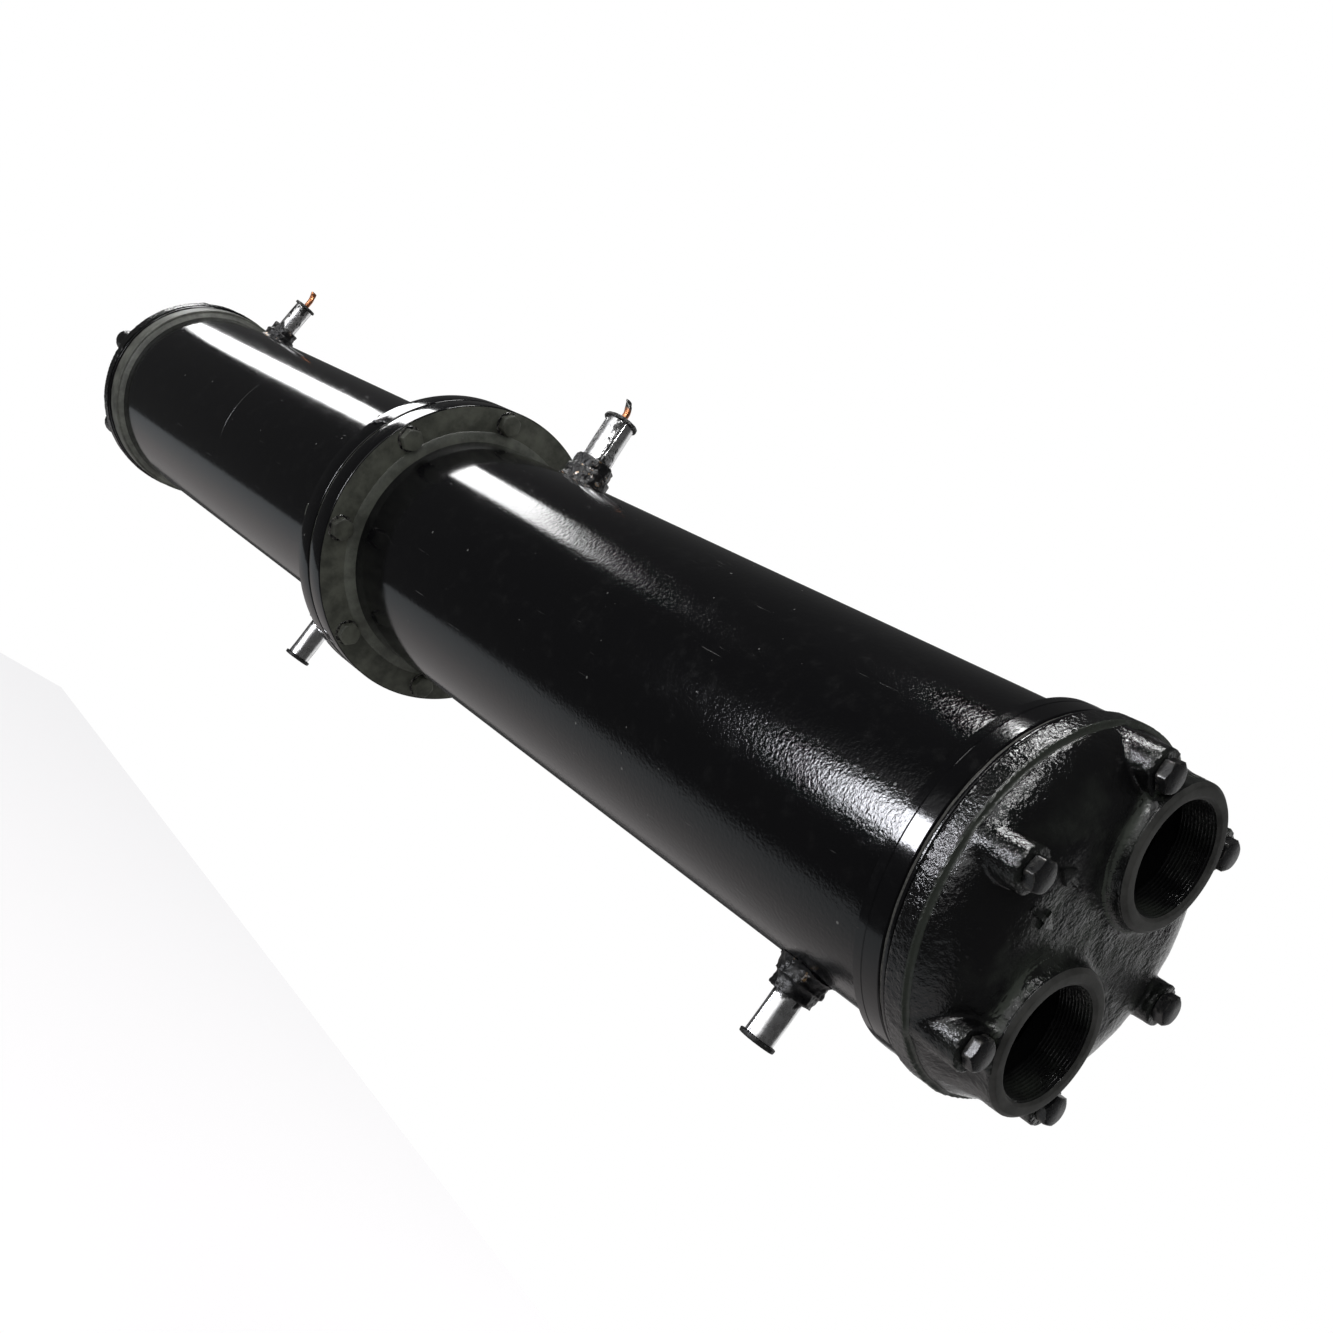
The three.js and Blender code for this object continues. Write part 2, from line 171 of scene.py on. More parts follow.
class Finish:
    """A node tree under construction, for a paint, a metal, the floor or the world."""

    def __init__(self, tree):
        self.tree = tree
        tree.nodes.clear()

    def node(self, kind, values=None, output=0, **settings):
        """One node: its settings first, then the values or links of its sockets."""
        made = self.tree.nodes.new(kind)
        for key, value in settings.items():
            setattr(made, key, value)
        for key, value in (values or {}).items():
            if isinstance(value, Tone):
                self.tree.links.new(value.socket, made.inputs[key])
            else:
                made.inputs[key].default_value = value
        return Tone(self, made.outputs[output] if len(made.outputs) else None)

    def place(self):
        return self.node("ShaderNodeTexCoord", output="Object")

    def stretched(self, scale):
        values = {0: self.place(), 1: scale}
        return self.node("ShaderNodeVectorMath", values, operation="MULTIPLY")

    def parts(self, vector):
        node = self.node("ShaderNodeSeparateXYZ", {0: vector}).socket.node
        return [Tone(self, socket) for socket in node.outputs]

    def cloud(self, scale, detail=3.0, rough=0.5, vector=None, seed=0.0):
        """Fractal noise round 0.5."""
        moved = self.node(
            "ShaderNodeVectorMath",
            {0: vector or self.place(), 1: (seed, seed * 1.7, -seed)},
            operation="ADD",
        )
        values = {"Vector": moved, "Scale": scale, "Detail": detail, "Roughness": rough}
        return self.node("ShaderNodeTexNoise", values, output="Fac")

    def specks(self, scale, size, share, seed=0.0):
        """Small round marks, on that share of the cells."""
        moved = self.node(
            "ShaderNodeVectorMath", {0: self.place(), 1: (seed, seed, seed)}, operation="ADD"
        )
        near = self.node("ShaderNodeTexVoronoi", {"Vector": moved, "Scale": scale}, output="Distance")
        pick = self.node("ShaderNodeTexVoronoi", {"Vector": moved, "Scale": scale}, output="Color")
        chosen = self.parts(pick)[0].step(1 - share, 1 - share * 0.8)
        return (1 - near.step(size * 0.5, size)) * chosen

    def blend(self, mask, first, second):
        values = {0: mask, 6: first, 7: second}
        return self.node("ShaderNodeMix", values, output=2, data_type="RGBA")

    def bump(self, height, distance, under=None):
        values = {"Height": height, "Distance": distance, "Strength": 1.0}
        if under:
            values["Normal"] = under
        return self.node("ShaderNodeBump", values)

    def surface(self, **sockets):
        values = {key.replace("_", " "): value for key, value in sockets.items()}
        shader = self.node("ShaderNodeBsdfPrincipled", values)
        self.node("ShaderNodeOutputMaterial", {"Surface": shader})


def material(name):
    made = bpy.data.materials.new(name)
    made.use_nodes = True
    return made, Finish(made.node_tree)


# ---- finishes ----


def enamel_paint(name, grit):
    """Glossy black enamel: smooth by the mid flange, grainier towards the ported end."""
    made, paint = material(name)
    x, y, z = paint.parts(paint.place())
    grain = x.step(0.06, 0.50)
    patches = paint.cloud(9, 4, 0.6)
    peel = paint.cloud(260, 2, 0.5)
    sand = paint.cloud(360, 3, 0.65, seed=3)
    dust = paint.specks(70, 0.09, 0.10) + paint.specks(170, 0.13, 0.05, seed=5) * grain
    fuzz = paint.cloud(60, 5, 0.7, seed=7).step(0.52, 0.80)
    streaks = paint.cloud(1.0, 3, 0.6, paint.stretched((22, 430, 430))).step(0.71, 0.78)
    groove = (1 - (x + 0.324).math("ABSOLUTE").step(0.0003, 0.0009)) * z.step(-0.040, -0.030)
    groove = groove * (1 - z.step(0.028, 0.034)) * (1 - y.step(-0.02, 0.0))
    marks = (dust * 0.6 + streaks * 0.3 + groove * 0.14 + fuzz * 0.02).least(1.0)
    colour = paint.blend(marks, (0.0048, 0.0048, 0.0058, 1), (0.34, 0.34, 0.33, 1))
    shine = 0.07 + patches * 0.06 + fuzz * 0.08 + marks * 0.3
    low = paint.bump(peel, 0.00003)
    fine = paint.bump(sand * (0.08 + grain * grit), 0.00022, low)
    scored = paint.bump(groove * -1.0 + streaks * -0.15, 0.0003, fine)
    paint.surface(
        Base_Color=colour, Roughness=shine, Normal=scored, Specular_IOR_Level=0.42
    )
    return made


def cast_paint():
    """Black paint over rough sand-cast iron. Its hollows, the dome step and patches on the heads'
    fronts are paler grey-green: part paint bloom, part a painted sheen of the light in front.
    """
    made, paint = material("cast_black_paint")
    hollow = paint.node("ShaderNodeAttribute", output="Fac", attribute_name="hollow")
    x = paint.parts(paint.place())[0]
    front = x.math("ABSOLUTE")
    patches = paint.cloud(28, 5, 0.6)
    sand = paint.cloud(310, 3, 0.65)
    fine = paint.cloud(900, 2, 0.6, seed=4)
    # Paler grey-green on the heads' fronts, in the hollows and along the dome step: part paint bloom,
    # part painted sheen.
    bloom_and_sheen = (hollow.step(0.1, 0.9) * 0.8 + patches.step(0.42, 0.68) * 0.4) * front.step(0.735, 0.752)
    step_band = 1 - (front - 0.7196).math("ABSOLUTE").step(0.0009, 0.0022)
    bloom_and_sheen = (bloom_and_sheen + step_band * 0.75 + patches.step(0.55, 0.8) * 0.10).least(1.0)
    colour = paint.blend(bloom_and_sheen, (0.0055, 0.0055, 0.006, 1), (0.050, 0.058, 0.047, 1))
    shine = 0.10 + patches * 0.07 + bloom_and_sheen * 0.30
    rough = (sand + fine * 0.1) * (1 - bloom_and_sheen * 0.4)
    paint.surface(
        Base_Color=colour,
        Roughness=shine,
        Normal=paint.bump(rough, 0.00075),
        Specular_IOR_Level=0.5,
    )
    return made


def machined_paint(name, turned_marks, tint):
    """Thin satin paint over a turned face, with its rings showing through."""
    made, paint = material(name)
    y, z = paint.parts(paint.place())[1:]
    radius = (y * y + z * z).math("SQRT")
    rings = paint.node(
        "ShaderNodeTexNoise",
        {"W": radius, "Scale": turned_marks, "Detail": 3.0},
        output="Fac",
        noise_dimensions="1D",
    )
    mottle = paint.cloud(45, 6, 0.65)
    grit = paint.cloud(700, 3, 0.6, seed=2)
    chips = paint.specks(120, 0.16, 0.06)
    dark = tuple(c * 0.55 for c in tint[:3]) + (1,)
    pale = tuple(c * 1.35 for c in tint[:3]) + (1,)
    colour = paint.blend(mottle.step(0.3, 0.7), dark, pale)
    colour = paint.blend(chips * 0.5, colour, (0.15, 0.15, 0.14, 1))
    shine = 0.42 + mottle * 0.22
    paint.surface(
        Base_Color=colour,
        Roughness=shine,
        Normal=paint.bump(rings * 0.4 + grit * 0.6, 0.00012),
        Specular_IOR_Level=0.35,
    )
    return made


def hex_paint():
    """Black paint on the hexagon heads, rubbed bright on some corners."""
    made, paint = material("fastener_steel")
    edge = paint.node("ShaderNodeNewGeometry", output="Pointiness").step(0.52, 0.60)
    wear = edge * paint.cloud(260, 3, 0.6).step(0.45, 0.65)
    mottle = paint.cloud(180, 4, 0.6, seed=6)
    colour = paint.blend(wear, (0.008, 0.008, 0.009, 1), (0.30, 0.29, 0.27, 1))
    paint.surface(
        Base_Color=colour,
        Metallic=wear * 0.8,
        Roughness=0.20 + mottle * 0.16,
        Normal=paint.bump(mottle, 0.00018),
        Specular_IOR_Level=0.5,
    )
    return made


def weld_paint(name, bare_share, bare_tint):
    """Lumpy painted weld, with bare and rusted spots where the paint missed."""
    made, paint = material(name)
    lumps = paint.cloud(210, 4, 0.65)
    bare = paint.cloud(95, 4, 0.7, seed=9).step(bare_share, bare_share + 0.08)
    rust = paint.cloud(330, 3, 0.6, seed=2).step(0.45, 0.6)
    metal = paint.blend(rust, (0.62, 0.61, 0.62, 1), bare_tint)
    colour = paint.blend(bare, (0.007, 0.007, 0.008, 1), metal)
    paint.surface(
        Base_Color=colour,
        Metallic=bare * 0.85,
        Roughness=0.24 + lumps * 0.2,
        Normal=paint.bump(lumps, 0.0011),
        Specular_IOR_Level=0.45,
    )
    return made


def pipe_metal():
    """Bright drawn steel, smeared lengthwise with black paint."""
    made, paint = material("pipe_steel")
    smear = paint.cloud(1.0, 5, 0.62, paint.stretched((62, 62, 24)), seed=4)
    fleck = paint.cloud(170, 4, 0.65, seed=1)
    z = paint.parts(paint.place())[2]
    foot = 1 - z.math("ABSOLUTE").step(0.128, 0.139)
    black = (smear * 0.72 + fleck * 0.28 + foot * 0.10).step(0.53, 0.59)
    film = fleck.step(0.3, 0.7)
    metal = paint.blend(film, (0.62, 0.62, 0.62, 1), (0.88, 0.88, 0.89, 1))
    colour = paint.blend(black, metal, (0.010, 0.010, 0.010, 1))
    draw = paint.cloud(1.0, 3, 0.6, paint.stretched((900, 900, 25)))
    paint.surface(
        Base_Color=colour,
        Metallic=1 - black * 0.95,
        Roughness=0.22 + black * 0.16 + fleck * 0.12,
        Normal=paint.bump(draw * 0.4 + black * 0.6 + fleck * 0.5, 0.00018),
        Specular_IOR_Level=0.5,
    )
    return made


def plug_finish(name, dark, pale, share):
    """Dull black plug, scuffed grey on its rim."""
    made, paint = material(name)
    scuff = paint.cloud(140, 5, 0.7).step(share, share + 0.12)
    grain = paint.cloud(900, 2, 0.5)
    paint.surface(
        Base_Color=paint.blend(scuff, dark, pale),
        Roughness=0.48 + scuff * 0.2,
        Normal=paint.bump(grain + scuff, 0.00010),
        Specular_IOR_Level=0.4,
    )
    return made


def copper_metal(name, tip_start):
    """Drawn copper that darkens where it was heated."""
    made, paint = material(name)
    z = paint.parts(paint.place())[2]
    tarnish = paint.cloud(200, 4, 0.65)
    burnt = (z.math("ABSOLUTE") + tarnish * 0.004).step(tip_start, tip_start + 0.004)
    base = paint.blend(tarnish.step(0.35, 0.65), (0.72, 0.30, 0.14, 1), (0.42, 0.17, 0.09, 1))
    paint.surface(
        Base_Color=paint.blend(burnt, base, (0.035, 0.038, 0.036, 1)),
        Metallic=1 - burnt * 0.6,
        Roughness=0.28 + tarnish * 0.25,
        Normal=paint.bump(tarnish, 0.0001),
    )
    return made


def fibre():
    """Pressed gasket fibre, inked black at its cut edge."""
    made, paint = material("gasket_fibre")
    flock = paint.cloud(800, 4, 0.7)
    colour = paint.blend(flock.step(0.3, 0.7), (0.03, 0.03, 0.028, 1), (0.12, 0.115, 0.10, 1))
    paint.surface(Base_Color=colour, Roughness=0.9, Normal=paint.bump(flock, 0.0002))
    return made


FINISH = {
    "enamel": enamel_paint("black_enamel", 0.9),
    "ring": enamel_paint("ring_enamel", 0.15),
    "cast": cast_paint(),
    "face": machined_paint("satin_grey_paint", 1900, (0.088, 0.092, 0.074)),
    # The bead's grey is a lighter copy of the face grey: a painted highlight on the sloping weld.
    "bead": machined_paint("lit_satin_grey_bead", 300, (0.100, 0.106, 0.088)),
    "worn": machined_paint("worn_ring_paint", 900, (0.15, 0.155, 0.135)),
    "port_face": machined_paint("machined_port_face", 2400, (0.045, 0.045, 0.042)),
    "hex": hex_paint(),
    "weld": weld_paint("welded_coupling_paint", 0.60, (0.62, 0.40, 0.20, 1)),
    "pipe": pipe_metal(),
    "rubber": plug_finish("cap_rubber", (0.016, 0.016, 0.016, 1), (0.10, 0.10, 0.10, 1), 0.58),
    "plug": plug_finish("cap_steel", (0.020, 0.020, 0.020, 1), (0.34, 0.34, 0.33, 1), 0.54),
    "near_copper": copper_metal("near_process_copper", 0.1935),
    "far_copper": copper_metal("far_process_copper", 0.30),
    "tube_copper": copper_metal("tube_copper", 0.30),
    "fibre": fibre(),
}


# ---- meshes ----


class Form:
    """Points and faces gathered for one piece, with the finish of each face."""

    def __init__(self):
        self.points = []
        self.faces = []
        self.finish = []

    def add(self, shape, finish=0, place=None):
        points, faces = shape
        points = np.asarray(points, float)
        if place is not None:
            turn = np.array(place)
            points = points @ turn[:3, :3].T + turn[:3, 3]
        start = sum(len(p) for p in self.points)
        self.points.append(points)
        self.faces += [tuple(start + i for i in face) for face in faces]
        self.finish += [finish] * len(faces)
        return self


def piece(name, form, finishes, node, sharp=34):
    """Makes the form one object that rides with, and stands for, its CAD node."""
    mesh = bpy.data.meshes.new(name)
    mesh.from_pydata(np.concatenate(form.points).tolist(), [], form.faces)
    for key in finishes:
        mesh.materials.append(FINISH[key])
    mesh.polygons.foreach_set("material_index", form.finish)
    shape = bmesh.new()
    shape.from_mesh(mesh)
    bmesh.ops.remove_doubles(shape, verts=shape.verts, dist=2e-6)
    bmesh.ops.recalc_face_normals(shape, faces=shape.faces)
    shape.to_mesh(mesh)
    shape.free()
    mesh.shade_smooth()
    mesh.set_sharp_from_angle(angle=math.radians(sharp))
    made = bpy.data.objects.new(name, mesh)
    bpy.context.scene.collection.objects.link(made)
    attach(made, frame["nodes"][node]["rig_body"])
    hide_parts(node)
    return made


def soften(profile, size, steps=3):
    """Rounds each corner of an open outline over about size on either side."""
    points = [np.array(p, float) for p in profile]
    out = [points[0]]
    for before, corner, after in zip(points, points[1:], points[2:]):
        back = before - corner
        on = after - corner
        a = corner + back * min(0.45, size / max(np.linalg.norm(back), 1e-9))
        b = corner + on * min(0.45, size / max(np.linalg.norm(on), 1e-9))
        for t in np.linspace(0, 1, steps + 1):
            out.append((1 - t) ** 2 * a + 2 * t * (1 - t) * corner + t * t * b)
    out.append(points[-1])
    return out


def turned(profile, sides, wobble=None):
    """A shape turned about X. Its ends join up, unless they lie on the axis."""
    x, r = np.array(profile, float).T
    angle = np.linspace(0, 2 * math.pi, sides, endpoint=False)[None, :]
    xs = np.repeat(x[:, None], sides, 1)
    rs = np.repeat(r[:, None], sides, 1)
    if wobble:
        rs = rs + wobble(xs, rs, angle)
    points = np.stack([xs, rs * np.cos(angle), rs * np.sin(angle)], -1).reshape(-1, 3)
    return points, grid_faces(len(x), sides, closed=r[0] > 0)


def grid_faces(rows, sides, closed=False):
    i = np.arange(rows if closed else rows - 1)[:, None]
    j = np.arange(sides)[None, :]
    after = (i + 1) % rows
    beside = (j + 1) % sides
    corners = [i * sides + j, i * sides + beside, after * sides + beside, after * sides + j]
    return np.stack(corners, -1).reshape(-1, 4).tolist()


def surface_net(low, high, step, distance):
    """Meshes the zero surface of a distance field.

    Each crossed cell gets one point, which is then drawn onto the surface.
    """
    axes = [np.arange(a, b + step, step) for a, b in zip(low, high)]
    field = distance(*np.meshgrid(*axes, indexing="ij"))
    cells = np.array(field.shape)
    total = np.zeros((field.size, 3))
    count = np.zeros(field.size)
    quads = []
    for axis in range(3):
        below = field.take(range(cells[axis] - 1), axis)
        above = field.take(range(1, cells[axis]), axis)
        edge = np.argwhere((below < 0) != (above < 0))
        start = below[tuple(edge.T)]
        share = start / (start - above[tuple(edge.T)])
        point = edge.astype(float)
        point[:, axis] += share
        u, v = [k for k in range(3) if k != axis]
        ring = []
        for du, dv in ((0, 0), (1, 0), (1, 1), (0, 1)):
            cell = edge.copy()
            cell[:, u] -= du
            cell[:, v] -= dv
            flat = np.ravel_multi_index(tuple(cell.T), field.shape)
            np.add.at(total, flat, point)
            np.add.at(count, flat, 1)
            ring.append(flat)
        quads.append(np.stack(ring, -1))
    used = np.flatnonzero(count)
    index = np.full(field.size, -1)
    index[used] = np.arange(len(used))
    points = total[used] / count[used][:, None] * step + np.array(low)
    for _ in range(3):
        value, normal = slope(distance, points, step * 0.2)
        points -= np.clip(value, -step, step)[:, None] * normal
    return points, index[np.concatenate(quads)].tolist()


def slope(distance, points, reach):
    """The field at the points, and its unit gradient, with the value scaled to a true distance."""
    value = distance(*points.T)
    ahead = [distance(*(points + np.eye(3)[k] * reach).T) - value for k in range(3)]
    gradient = np.stack(ahead, -1) / reach
    length = np.maximum(np.linalg.norm(gradient, axis=1), 1e-6)
    return value / length, gradient / length[:, None]


def merge(a, b, fillet):
    """The union of two fields, with a cast fillet between them."""
    share = np.clip(0.5 + 0.5 * (b - a) / fillet, 0, 1)
    return b + (a - b) * share - fillet * share * (1 - share)


def roughen(points, normals, depth, size, seed):
    """Moves points in and out by lumps of about that size."""
    lumps = [noise.noise(Vector(p) / size + Vector((seed, 0, 0))) for p in points]
    return points + normals * (np.array(lumps)[:, None] * depth)


# ---- shells ----


def shell(node, seed):
    low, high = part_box(node)
    inner = SHELL_R - SHELL_WALL
    rows = np.linspace(low.x, high.x, 120)
    profile = [(x, SHELL_R) for x in rows] + [(high.x, inner), (low.x, inner)]

    def rolled(x, r, angle):
        swell = np.sin(angle * 2 + x * 6 + seed) + 0.6 * np.sin(angle * 5 - x * 17 + seed * 2)
        ripple = np.sin(angle * 11 + x * 43) * np.sin(x * 71 - angle * 3)
        return (0.00004 * swell + 0.000012 * ripple) * (r > inner + 0.001)

    form = Form().add(turned(profile, 224, rolled))
    return piece(f"{node}_pipe", form, ["enamel"], node)


# ---- mid flange ----


def mid_plate(node, side):
    low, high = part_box(node)
    face = min(abs(low.x), abs(high.x))
    radius = high.z
    weld = SHELL_R + MID_WELD_LEG
    back = max(abs(low.x), abs(high.x)) - WELD_RISE
    rim = soften([(face, 0.02), (face, radius), (back, radius), (back, weld)], 1.0 * MM)
    plate = [(x * side, r) for x, r in rim] + [(back * side, 0.02)]
    form = Form().add(turned(plate, ROUND_SIDES))
    rim_rows = [i for i, (x, r) in enumerate(plate) if r > radius - 0.0012]
    black = set(range(rim_rows[0], rim_rows[-1]))
    form.finish = [int(i // ROUND_SIDES in black) for i in range(len(form.faces))]

    def laid(x, r, angle):
        along = angle * 118 + np.sin(angle * 7) * 2
        scale = np.abs(np.sin(along / 2)) * 0.00022 + 0.00018 * np.sin(angle * 13 + x * 900)
        return scale * (r > SHELL_R + 0.0004)

    toe = back - 0.6 * MM
    bead = soften(
        [
            (toe, weld + 0.5 * MM),
            (back + 0.9 * MM, weld - 0.7 * MM),
            (back + WELD_RISE, SHELL_R + 0.3 * MM),
        ],
        2.5 * MM,
        5,
    )
    bead = [(x * side, r) for x, r in [*bead, (back + WELD_RISE, SHELL_R - MM), (toe, SHELL_R - MM)]]
    form.add(turned(bead, 720, laid), 2)
    if side < 0:
        for x, angle, size in RIM_DRIPS:
            form.add(*drip(x * MM, radius, math.radians(angle), size * MM))
    return piece(f"{node}_plate", form, ["face", "enamel", "bead"], node)


def drip(x, radius, angle, size):
    """A hardened lump of paint on the flange rim."""
    turn = np.linspace(0, math.pi, 10)
    profile = [(-size * math.cos(t), size * 0.6 * math.sin(t)) for t in turn]

    def lumpy(u, r, around):
        return r * 0.35 * np.sin(around * 3 + u / size * 4)

    place = Matrix.Translation((x, radius * math.cos(angle), radius * math.sin(angle)))
    return turned(profile, 24, lumpy), 1, place


def hex_outline(flats):
    """Angles round a hexagon, close together at its corners, and the radius at each."""
    side = np.radians([-29.2, -22, -11, 0, 11, 22, 29.2])
    angle = np.concatenate([side + math.pi / 3 * k + math.pi / 6 for k in range(6)])
    radius = np.tile(flats / 2 / np.cos(side), 6)
    return angle, radius


def hexagon(rows, hole=None):
    """A hexagon fastener along X from rows of (x, cone radius).

    Each row is the hexagon inside that circle.
    """
    angle, radius = hex_outline(HEX_FLATS)
    points = []
    for x, cone in rows:
        r = np.minimum(radius, cone)
        points += np.stack([np.full_like(r, x), r * np.cos(angle), r * np.sin(angle)], -1).tolist()
    return np.array(points), grid_faces(len(rows), len(angle), closed=hole is not None)


def bolt_head(height):
    full = HEX_FLATS
    top = HEX_FLATS * 0.47
    cone = [(height - h * MM, top + h * MM * 1.9) for h in (1.3, 1.0, 0.7, 0.4, 0.15)]
    washer = HEX_FLATS * 0.475
    return [
        (0, 0),
        (0, washer),
        (0.5 * MM, washer),
        (0.5 * MM, full),
        *cone,
        (height, top - 0.2 * MM),
        (height, 0),
    ]


def nut_body(height):
    top = HEX_FLATS * 0.47
    hole = 6.1 * MM
    cone = [(h * MM, top + h * MM * 1.9) for h in (0.15, 0.5, 0.9, 1.3)]
    far = [(height - x, r) for x, r in reversed(cone)]
    return [(0, hole), (0, top - 0.2 * MM), *cone, *far, (height, top - 0.2 * MM), (height, hole)]


def on_axis(x, y, z, side=1, twist=0.0):
    """A place on a bolt axis, pointing to +X or -X."""
    turn = Matrix.Rotation(math.radians(twist), 4, "X")
    flip = Matrix.Rotation(0 if side > 0 else math.pi, 4, "Z")
    return Matrix.Translation((x, y, z)) @ flip @ turn


def centre(node):
    low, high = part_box(node)
    return (low + high) / 2, low, high


def flange_bolt(i, twist):
    node = f"flange_bolt_{i}"
    middle, low, high = centre(node)
    form = Form().add(
        hexagon(bolt_head(BOLT_HEAD)),
        0,
        on_axis(high.x - BOLT_HEAD, middle.y, middle.z, 1, twist),
    )
    turns = np.arange(low.x + 0.8 * MM, low.x + 4.6 * MM, 1.75 / 4 * MM)
    thread = [(x, (6.0 if k % 4 in (0, 1) else 5.2) * MM) for k, x in enumerate(turns)]
    shank = [
        (low.x, 0),
        (low.x, 4.9 * MM),
        *thread,
        (turns[-1] + MM, 5.9 * MM),
        (high.x - BOLT_HEAD, 5.9 * MM),
    ]
    form.add(
        turned([*shank, (high.x - BOLT_HEAD, 0)], 40),
        1,
        Matrix.Translation((0, middle.y, middle.z)),
    )
    seat = high.x - BOLT_HEAD + 0.05 * MM
    # A thin black disc under the head: a painted shadow round its edge.
    shadow = turned([(seat, 6 * MM), (seat + 0.25 * MM, 11.4 * MM), (seat, 11.6 * MM)], 48)
    form.add(shadow, 1, Matrix.Translation((0, middle.y, middle.z)))
    piece(f"{node}_hex", form, ["face", "hex"], node)


def flange_nut(i, twist):
    node = f"flange_nut_{i}"
    middle, low, high = centre(node)
    rows = nut_body(high.x - low.x)
    form = Form().add(hexagon(rows, hole=True), 0, on_axis(low.x, middle.y, middle.z, 1, twist))
    piece(f"{node}_hex", form, ["face"], node)


def head_bolt(node, side, twist):
    middle, low, high = centre(node)
    seat = high.x - BOLT_HEAD if side > 0 else low.x + BOLT_HEAD
    end = low.x if side > 0 else high.x
    form = Form().add(hexagon(bolt_head(BOLT_HEAD)), 0, on_axis(seat, middle.y, middle.z, side, twist))
    shank = [(end, 0), (end, 5.2 * MM), (end + side * MM, 6 * MM), (seat, 6 * MM), (seat, 0)]
    form.add(turned(shank, 32), 0, Matrix.Translation((0, middle.y, middle.z)))
    piece(f"{node}_hex", form, ["hex"], node)


# ---- end tube sheets, gaskets and tubes ----


def end_ring(node, side, finish):
    """A turned ring with a sharp back edge, a scribed line and a weld to its shell."""
    low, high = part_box(node)
    radius = high.z
    outer = high.x if side > 0 else -low.x
    start = outer - 21 * MM
    line = start + 7.2 * MM
    weld = SHELL_R + END_WELD_LEG
    profile = [
        (outer, 0.012),
        (start, 0.012),
        (start, weld),
        (start, radius - 0.9 * MM),
        (start + 0.7 * MM, radius - 0.1 * MM),
        (line - 0.5 * MM, radius),
        (line, radius - 0.45 * MM),
        (line + 0.5 * MM, radius - 0.1 * MM),
        (outer - 1.3 * MM, radius - 0.1 * MM),
        (outer - 0.2 * MM, radius - 1.2 * MM),
        (outer, radius - 2.2 * MM),
    ]
    form = Form().add(turned([(x * side, r) for x, r in profile], ROUND_SIDES))
    bead = soften(
        [
            (start + 0.5 * MM, weld),
            (start - 1.2 * MM, weld - 1.2 * MM),
            (start - WELD_RISE, SHELL_R + 0.2 * MM),
        ],
        2 * MM,
        4,
    )
    bead = [
        (x * side, r)
        for x, r in [*bead, (start - WELD_RISE, SHELL_R - MM), (start + 0.5 * MM, SHELL_R - MM)]
    ]

    def laid(x, r, angle):
        return (np.abs(np.sin(angle * 62)) * 0.0002 + 0.0001 * np.sin(angle * 17)) * (r > SHELL_R)

    form.add(turned(bead, 640, laid), 1)
    piece(f"{node}_ring", form, [finish, finish], node)


def gasket(node, inner, waves):
    low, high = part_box(node)
    outer = high.z - 0.3 * MM
    profile = [
        (low.x, inner),
        (low.x, outer),
        ((low.x + high.x) / 2, outer + 0.3 * MM),
        (high.x, outer),
        (high.x, inner),
    ]

    def pressed(x, r, angle):
        return np.sin(angle * waves) * 0.00015 * (r > inner + 0.001)

    form = Form().add(turned(profile, ROUND_SIDES, pressed))
    if node != "return_head_gasket":
        rib = box_shape((low.x, -inner, -PASS_RIB / 2), (high.x, inner, PASS_RIB / 2))
        form.add(rib)
    piece(f"{node}_sheet", form, ["fibre"], node)


def box_shape(low, high):
    corners = [
        (x, y, z)
        for x in (low[0], high[0])
        for y in (low[1], high[1])
        for z in (low[2], high[2])
    ]
    faces = [(0, 1, 3, 2), (4, 6, 7, 5), (0, 4, 5, 1), (2, 3, 7, 6), (0, 2, 6, 4), (1, 5, 7, 3)]
    return corners, faces


def tube_bundle(node):
    low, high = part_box(node)
    form = Form()
    wall = [
        (low.x, TUBE_R - TUBE_WALL),
        (low.x, TUBE_R),
        (high.x, TUBE_R),
        (high.x, TUBE_R - TUBE_WALL),
    ]
    for row, places in TUBE_ROWS.items():
        for side in (1, -1):
            for y in places:
                form.add(turned(wall, 28), 0, Matrix.Translation((0, y * MM, side * row)))
    baffle_r = SHELL_R - SHELL_WALL - 0.6 * MM
    for share in (1 / 3, 2 / 3):
        x = low.x + (high.x - low.x) * share
        form.add(turned([(x, 0), (x, baffle_r), (x + 4 * MM, baffle_r), (x + 4 * MM, 0)], 64))
    piece(f"{node}_tubes", form, ["tube_copper"], node)


# ---- cast heads ----


def column_places():
    return [
        (COLUMN_CIRCLE * math.cos(a), COLUMN_CIRCLE * math.sin(a))
        for a in np.radians(range(0, 360, 60))
    ]


def plain_casting(u, y, z, fillet):
    """Rim, dome and bolt columns, as a field with u the height above the gasket face."""
    r = np.hypot(y, z)
    rim = np.maximum(r - RIM_R, u - RIM_H)
    across = np.maximum(r - DOME_FLAT_R, 0) / (DOME_R - DOME_FLAT_R)
    up = np.maximum(u - RIM_H, 0) / (DOME_H - RIM_H)
    dome = ((across**1.8 + up**1.8) ** (1 / 1.8) - 1) * (DOME_H - RIM_H)
    body = merge(np.maximum(rim, -u), dome, 1.5 * MM)
    for cy, cz in column_places():
        out = 1 + 0.6 * MM / COLUMN_CIRCLE
        column = np.maximum(np.hypot(y - cy * out, z - cz * out) - COLUMN_R - 0.9 * MM, u - COLUMN_H)
        body = merge(body, column, fillet)
    return body


def collars(u, y, z):
    both = [
        np.maximum(np.hypot(y, z - s * PORT_OFFSET) - COLLAR_R, u - PORT_FACE_H + PORT_CHAMFER)
        for s in (1, -1)
    ]
    return np.minimum(*both)


